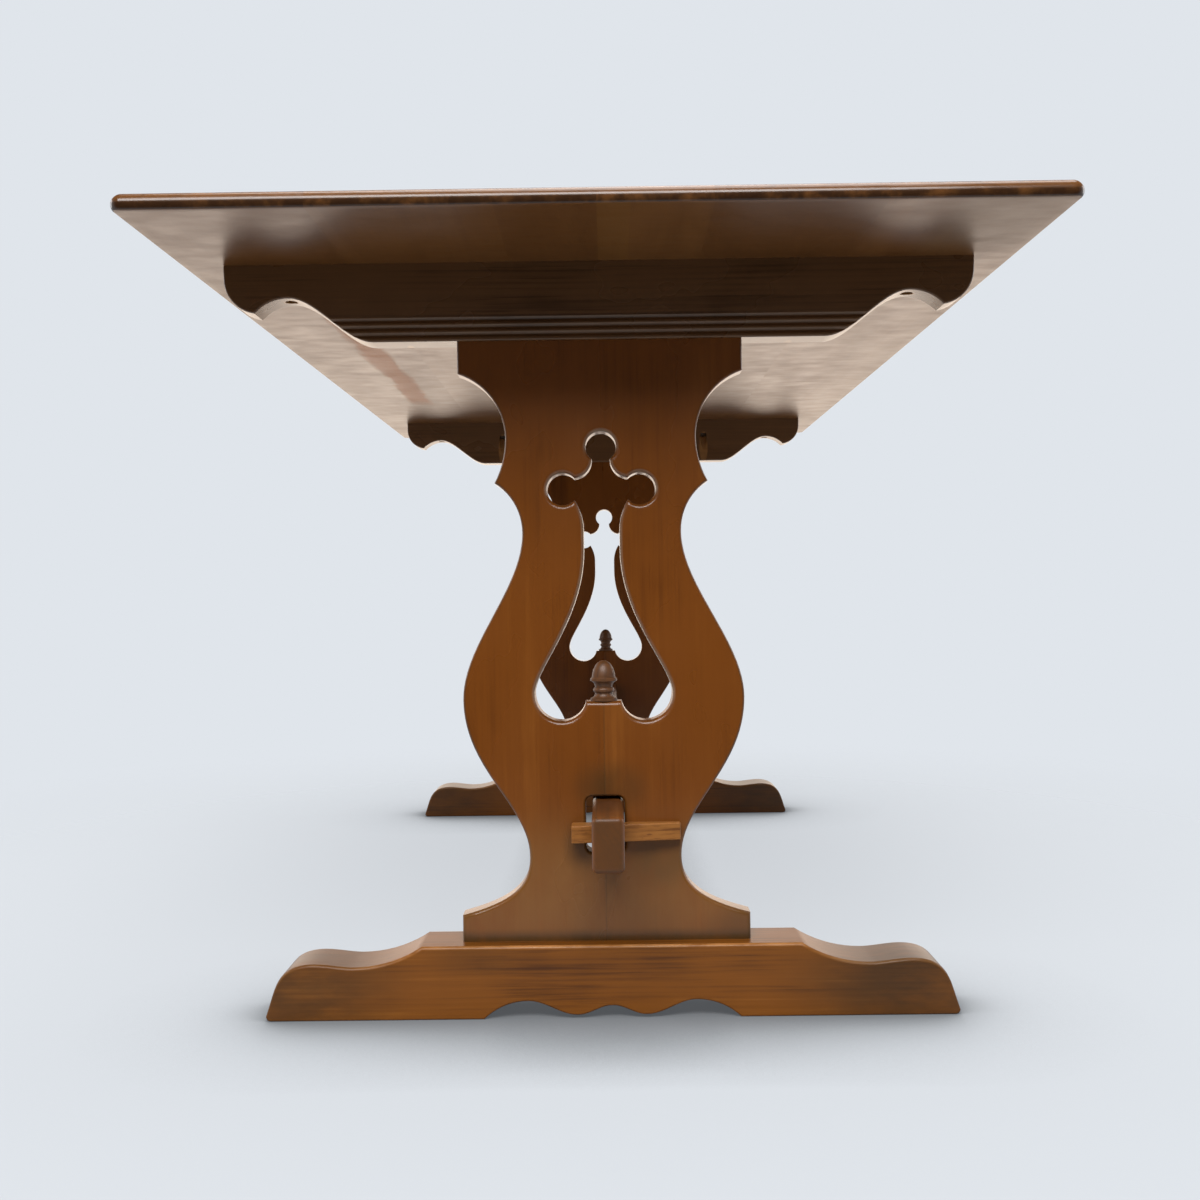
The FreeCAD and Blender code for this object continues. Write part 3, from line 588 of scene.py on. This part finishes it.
def makeBearer(node, outward, material):
    low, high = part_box(node)

    def rounding(a, b):
        return bearerLook["outlineRound"] if min(a.z, b.z) < high.z - 1e-5 else 0.0

    plate = easedPlate(faceOutline(node, -outward), outward, high.y - low.y, rounding, rounding,
                       lambda corner, normal: (bearerLook["arrisWear"], 0.0), segments=4)
    ploughReeds(plate, (high if outward > 0 else low).y, -outward, low.z)
    bearer = finishPiece(plate, f"{node}_timber")
    middle = (low.y + high.y) / 2
    inner = (low if outward > 0 else high).y
    lean = math.radians(bearerLook["pocketLean"])
    leaning = Vector((0.0, outward * math.sin(lean), math.cos(lean)))
    depth = bearerLook["boreDepth"]
    upward = Vector((0, 0, depth))
    holes = []
    for way in (-1, 1):
        arch = Vector((way * bearerLook["archReach"], middle, low.z + bearerLook["archHeight"]))
        holes.append((arch - upward, arch + upward))
        pocket = Vector((way * bearerLook["pocketReach"], inner, low.z + bearerLook["pocketHeight"]))
        holes.append((pocket - leaning * bearerLook["pocketRunout"], pocket + leaning * depth))
    boreHoles(bearer, holes, bearerLook["boreRadius"])
    dress(bearer, node, material)


for end, outward in trestles:
    look = stainedWood | bearerLook["wood"] | {"pith": (outward, 0.1 - outward * 0.56, -0.55)}
    low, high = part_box(f"{end}_bearer")
    inner = (low if outward > 0 else high).y
    look["spots"] = []
    for way in (-1, 1):
        arch = (way * bearerLook["archReach"], (low.y + high.y) / 2, low.z + bearerLook["archHeight"])
        pocketHeight = low.z + bearerLook["pocketHeight"] - bearerLook["rawDrop"]
        pocket = (way * bearerLook["pocketReach"], inner, pocketHeight)
        for place, size in ((arch, bearerLook["rawArch"]), (pocket, bearerLook["rawPocket"])):
            look["spots"].append(spot(place, size, bearerLook["rawWood"], 1.0, bearerLook["rawCore"]))
    makeBearer(f"{end}_bearer", outward, timber(f"bearer wood {end}", look))
print("bearers sawn, reeded and bored")


topLook = {
    "boards": 6,
    "nose": 0.006,
    "fall": 0.0044,
    "fallReach": 0.008,
    "edgeCuts": (0.0012, 0.0035, 0.009, 0.011, 0.014, 0.018, 0.024, 0.034),
    "edgeRound": 0.007,
    "underRound": 0.0035,
    "cornerRound": 0.009,
    "darkBandFoot": 0.0005,
    "darkBandTop": 0.0085,
    "darkBandFade": 0.003,
    "wood": {"along": "Y", "dark": paint(72, 42, 18), "mid": paint(110, 70, 34),
             "light": paint(140, 94, 50), "roughness": 0.22, "plainBelow": 0.8, "dullBelow": 0.14,
             "mottle": 0.24, "bump": 0.05, "pore": 0.12, "fibre": 0.7, "cloud": 0.5, "band": 0.7,
             "ring": 0.3, "rings": 170.0, "grimeAndShade": 0.8},
    "tones": (0.56, 0.66, 0.58, 0.70, 0.54, 0.64),
    "strips": {
        1: {"middle": -0.283, "half": 0.015, "soft": 0.006, "wobble": 0.03, "starts": -0.45, "stops": 0.30,
            "colour": paint(164, 96, 40), "strength": 1.0, "dryness": 0.13},
        4: {"middle": 0.013, "half": 0.014, "soft": 0.0006, "wobble": 0.0, "starts": -0.9, "stops": 0.9,
            "colour": paint(140, 96, 46), "strength": 0.35, "dryness": 0.0},
        6: {"middle": 0.335, "half": 0.045, "soft": 0.02, "wobble": 0.03, "starts": -0.9, "stops": -0.60,
            "colour": paint(112, 86, 58), "strength": 0.5, "dryness": 0.08},
    },
}


# How far a point lies inside the rounded outline of the whole top.
def insetFromEdge(point, reach):
    corner = topLook["cornerRound"]
    past = Vector((abs(point.x) - reach.x + corner, abs(point.y) - reach.y + corner))
    outside = Vector((max(past.x, 0.0), max(past.y, 0.0))).length
    return max(0.0, corner - outside - min(max(past.x, past.y), 0.0))


# The height of a quarter round over a point that lies so far in from where the round starts.
def quarterRound(inset, width, height):
    short = 1 - min(inset / width, 1.0)
    return height * math.sqrt(1 - short * short)


# The edge is a thumbnail mould: a blunt nose low down, and a top that falls away gently towards it.
def makeTopBoard(node, reach, material):
    solid = copySolid(node)
    low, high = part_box(node)
    thickness = high.z - low.z
    for inset in topLook["edgeCuts"]:
        for way in (-1, 1):
            cutAcross(solid, (way * (reach.x - inset), 0.0, 0.0), (1.0, 0.0, 0.0))
            cutAcross(solid, (0.0, way * (reach.y - inset), 0.0), (0.0, 1.0, 0.0))
    grimeAndShade = solid.verts.layers.float["grimeAndShade"]
    nose = topLook["nose"]
    for vert in solid.verts:
        inset = insetFromEdge(vert.co, reach)
        if vert.co.z - low.z > thickness / 2:
            fall = topLook["fall"] * math.exp(-inset / topLook["fallReach"])
            lift = thickness - topLook["fall"] - nose
            rise = quarterRound(inset, topLook["edgeRound"], lift)
            vert.co.z = low.z + nose + rise + topLook["fall"] - fall
        elif inset < topLook["underRound"]:
            vert.co.z = low.z + nose - quarterRound(inset, topLook["underRound"], nose)
        # the edge is marked darker from just above the underside to about the nose, fading out above it
        above = vert.co.z - low.z
        if above > topLook["darkBandFoot"]:
            vert[grimeAndShade] = min(1.0, max(0.0, (topLook["darkBandTop"] - above) / topLook["darkBandFade"]))
    bmesh.ops.remove_doubles(solid, verts=solid.verts, dist=2e-5)
    dress(finishPiece(solid, f"{node}_timber"), node, material)


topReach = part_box(f"top_board_{topLook['boards']}")[1]
for board in range(1, topLook["boards"] + 1):
    low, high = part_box(f"top_board_{board}")
    middle = (low + high) / 2
    look = stainedWood | topLook["wood"] | {"strip": topLook["strips"].get(board)}
    look["pith"] = (board * 2.7, 0.03 * (-1) ** board - middle.x, 0.1 - middle.z)
    look["tone"] = topLook["tones"][board - 1]
    makeTopBoard(f"top_board_{board}", topReach, timber(f"top wood {board}", look))
print("top boards moulded")


keyLook = {
    "round": 0.0012,
    "wood": {"along": "X", "dark": paint(104, 60, 24), "mid": paint(152, 98, 44),
             "light": paint(176, 122, 64), "fibre": 1.0, "pore": 0.3, "roughness": 0.45, "bump": 0.3,
             "wearAndHighlight": paint(186, 136, 84), "gloss": 0.3},
}
finialLook = {
    "wood": {"along": "Z", "dark": paint(64, 38, 16), "mid": paint(98, 60, 28), "light": paint(122, 80, 42),
             "roughness": 0.45},
}
stretcherLook = {
    "wood": {"along": "Y", "pith": (0.0, 0.12, -0.1), "dark": paint(80, 54, 30), "endTone": 0.15,
             "gloss": 0.3, "roughness": 0.4},
    # a painted shadow on the top of each tenon, next to the panel under the top of the mortise
    "shadowPlace": (0.0026, 0.61, 0.1965),
    "shadowSize": (0.03, 0.07, 0.014),
}
for end, outward in trestles:
    side = {"pith": (outward, 0.1 - outward * 0.56, -0.55)}
    key = copySolid(f"{end}_key")
    bmesh.ops.bevel(key, geom=key.edges, offset=keyLook["round"], offset_type="OFFSET", segments=3,
                    profile=0.5, affect="EDGES")
    keyWood = timber(f"key wood {end}", stainedWood | keyLook["wood"] | side)
    dress(finishPiece(key, f"{end}_key_timber"), f"{end}_key", keyWood)
    finialWood = timber(f"finial wood {end}", stainedWood | finialLook["wood"] | side)
    nodes[f"{end}_finial"].material_slots[0].material = finialWood
look = stainedWood | stretcherLook["wood"]
x, y, z = stretcherLook["shadowPlace"]
look["spots"] = [spot((x, outward * y, z), stretcherLook["shadowSize"], look["dirtAndShade"], 0.5)
                 for end, outward in trestles]
nodes["stretcher"].material_slots[0].material = timber("stretcher wood", look)


screwLook = {"bright": paint(150, 146, 140), "dull": paint(92, 84, 76), "roughness": 0.38, "stain": 300.0}


def agedSteel():
    material = bpy.data.materials.new("aged steel")
    material.use_nodes = True
    tree = material.node_tree
    tree.nodes.clear()
    place = put(tree, "ShaderNodeTexCoord").outputs["Object"]
    stain = noise(tree, stretched(tree, place, screwLook["stain"], screwLook["stain"]), 4.0, 0.6)
    colour = mixed(tree, between(tree, stain, 0.4, 0.65), screwLook["bright"], screwLook["dull"])
    rough = calc(tree, "MULTIPLY_ADD", stain, 0.3, screwLook["roughness"] - 0.15)
    finish = {"Base Color": colour, "Metallic": 1.0, "Roughness": rough}
    shader = put(tree, "ShaderNodeBsdfPrincipled", finish)
    put(tree, "ShaderNodeOutputMaterial", {"Surface": shader.outputs[0]})
    return material


steel = agedSteel()
for screws in ("bearer_end_screws", "bearer_pocket_screws"):
    nodes[screws].material_slots[0].material = steel
print("other timber stained, screws dulled")


camera = bpy.data.objects.new("camera", bpy.data.cameras.new("camera"))
scene.collection.objects.link(camera)
cameraView = {"place": (0.005, -1.806, 0.385), "lens": 40.0, "down": 0.2, "left": 0.34, "roll": -0.75}
camera.location = cameraView["place"]
camera.data.sensor_width = 36.0
camera.data.lens = cameraView["lens"]
camera.data.clip_start = 0.05
aim = Euler((math.radians(90 - cameraView["down"]), 0.0, math.radians(cameraView["left"]))).to_matrix()
camera.rotation_euler = (aim @ Euler((0.0, 0.0, math.radians(cameraView["roll"]))).to_matrix()).to_euler()
scene.camera = camera

backdrop = paint(224, 229, 235)
skyLook = {"fill": 0.2, "dimming": 0.94, "behind": (-0.2, -0.75), "above": (0.3, 0.75)}
world = bpy.data.worlds.new("studio")
scene.world = world
world.use_nodes = True
sky = world.node_tree
sky.nodes.clear()
rays = put(sky, "ShaderNodeLightPath").outputs
seen = calc(sky, "MAXIMUM", rays["Is Camera Ray"], calc(sky, "MAXIMUM", rays["Is Glossy Ray"],
                                                        rays["Is Transmission Ray"]))
white = (1.0, 1.0, 1.0, 1.0)
fill = put(sky, "ShaderNodeBackground", {"Color": white, "Strength": skyLook["fill"]}).outputs[0]
# the pale backdrop goes round the object, and the ceiling and the room behind the camera are dim
direction = put(sky, "ShaderNodeTexCoord").outputs["Generated"]
heading = put(sky, "ShaderNodeSeparateXYZ", {0: direction}).outputs
dim = calc(sky, "MAXIMUM", between(sky, heading[1], *skyLook["behind"]),
           between(sky, heading[2], *skyLook["above"]))
dim = calc(sky, "MULTIPLY", dim, rays["Is Glossy Ray"])
strength = calc(sky, "MULTIPLY_ADD", dim, -skyLook["dimming"], 1.0)
pale = put(sky, "ShaderNodeBackground", {"Color": backdrop, "Strength": strength}).outputs[0]
both = put(sky, "ShaderNodeMixShader", {0: seen, 1: fill, 2: pale}).outputs[0]
put(sky, "ShaderNodeOutputWorld", {"Surface": both})


def softLamp(name, place, aimAt, width, height, power, tint=(1.0, 1.0, 1.0)):
    lamp = bpy.data.lights.new(name, "AREA")
    lamp.shape = "RECTANGLE"
    lamp.size = width
    lamp.size_y = height
    lamp.energy = power
    lamp.color = tint
    holder = bpy.data.objects.new(name, lamp)
    holder.location = place
    holder.rotation_euler = (Vector(aimAt) - Vector(place)).to_track_quat("-Z", "Y").to_euler()
    holder.visible_camera = False
    scene.collection.objects.link(holder)


softLamp("overhead lamp", (0.2, 0.2, 3.0), (0.0, 0.0, 0.5), 2.2, 2.2, 60.0)
softLamp("front lamp", (-0.3, -2.5, 2.5), (0.0, -0.5, 0.3), 2.4, 1.2, 100.0)
softLamp("left lamp", (-2.6, 0.3, 1.3), (0.0, 0.2, 0.2), 1.5, 1.5, 20.0)
softLamp("right lamp", (2.6, 0.3, 1.3), (0.0, 0.2, 0.2), 1.5, 1.5, 20.0)
softLamp("back lamp", (0.0, 3.6, 0.2), (0.0, 0.0, 0.2), 5.0, 2.4, 60.0, (1.0, 0.74, 0.5))


floorLook = {"reach": 4.0, "fadeStart": 0.7, "fadeEnd": 1.7, "albedo": paint(193, 197, 201), "glow": 0.75,
             "contactReach": 0.18, "contactPower": 4.5, "contactShade": paint(90, 94, 98)}


# The floor is lit and takes the shadows. Seen by the camera it is part backdrop, so it has no far edge.
def makeFloor():
    mesh = bpy.data.meshes.new("floor")
    reach = floorLook["reach"]
    mesh.from_pydata([(-reach, -reach, 0), (reach, -reach, 0), (reach, reach, 0), (-reach, reach, 0)], [],
                     [(0, 1, 2, 3)])
    floor = bpy.data.objects.new("floor", mesh)
    scene.collection.objects.link(floor)
    material = bpy.data.materials.new("pale floor")
    material.use_nodes = True
    tree = material.node_tree
    tree.nodes.clear()
    place = put(tree, "ShaderNodeTexCoord").outputs["Object"]
    away = put(tree, "ShaderNodeVectorMath", {0: place}, operation="LENGTH").outputs["Value"]
    fade = between(tree, away, floorLook["fadeStart"], floorLook["fadeEnd"])
    matt = put(tree, "ShaderNodeBsdfDiffuse", {"Color": floorLook["albedo"]}).outputs[0]
    contact = put(tree, "ShaderNodeAmbientOcclusion", {"Distance": floorLook["contactReach"]}).outputs["AO"]
    contact = calc(tree, "POWER", contact, floorLook["contactPower"])
    shade = mixed(tree, contact, floorLook["contactShade"], backdrop)
    glow = put(tree, "ShaderNodeEmission", {"Color": shade, "Strength": 1.0}).outputs[0]
    paths = put(tree, "ShaderNodeLightPath").outputs
    viewed = calc(tree, "MAXIMUM", paths["Is Camera Ray"], paths["Is Glossy Ray"])
    share = calc(tree, "MULTIPLY", viewed, floorLook["glow"])
    paper = put(tree, "ShaderNodeMixShader", {0: share, 1: matt, 2: glow})
    clear = put(tree, "ShaderNodeBsdfTransparent").outputs[0]
    both = put(tree, "ShaderNodeMixShader", {0: fade, 1: paper.outputs[0], 2: clear}).outputs[0]
    put(tree, "ShaderNodeOutputMaterial", {"Surface": both})
    mesh.materials.append(material)


makeFloor()
scene.view_settings.view_transform = "Standard"
print("studio set")
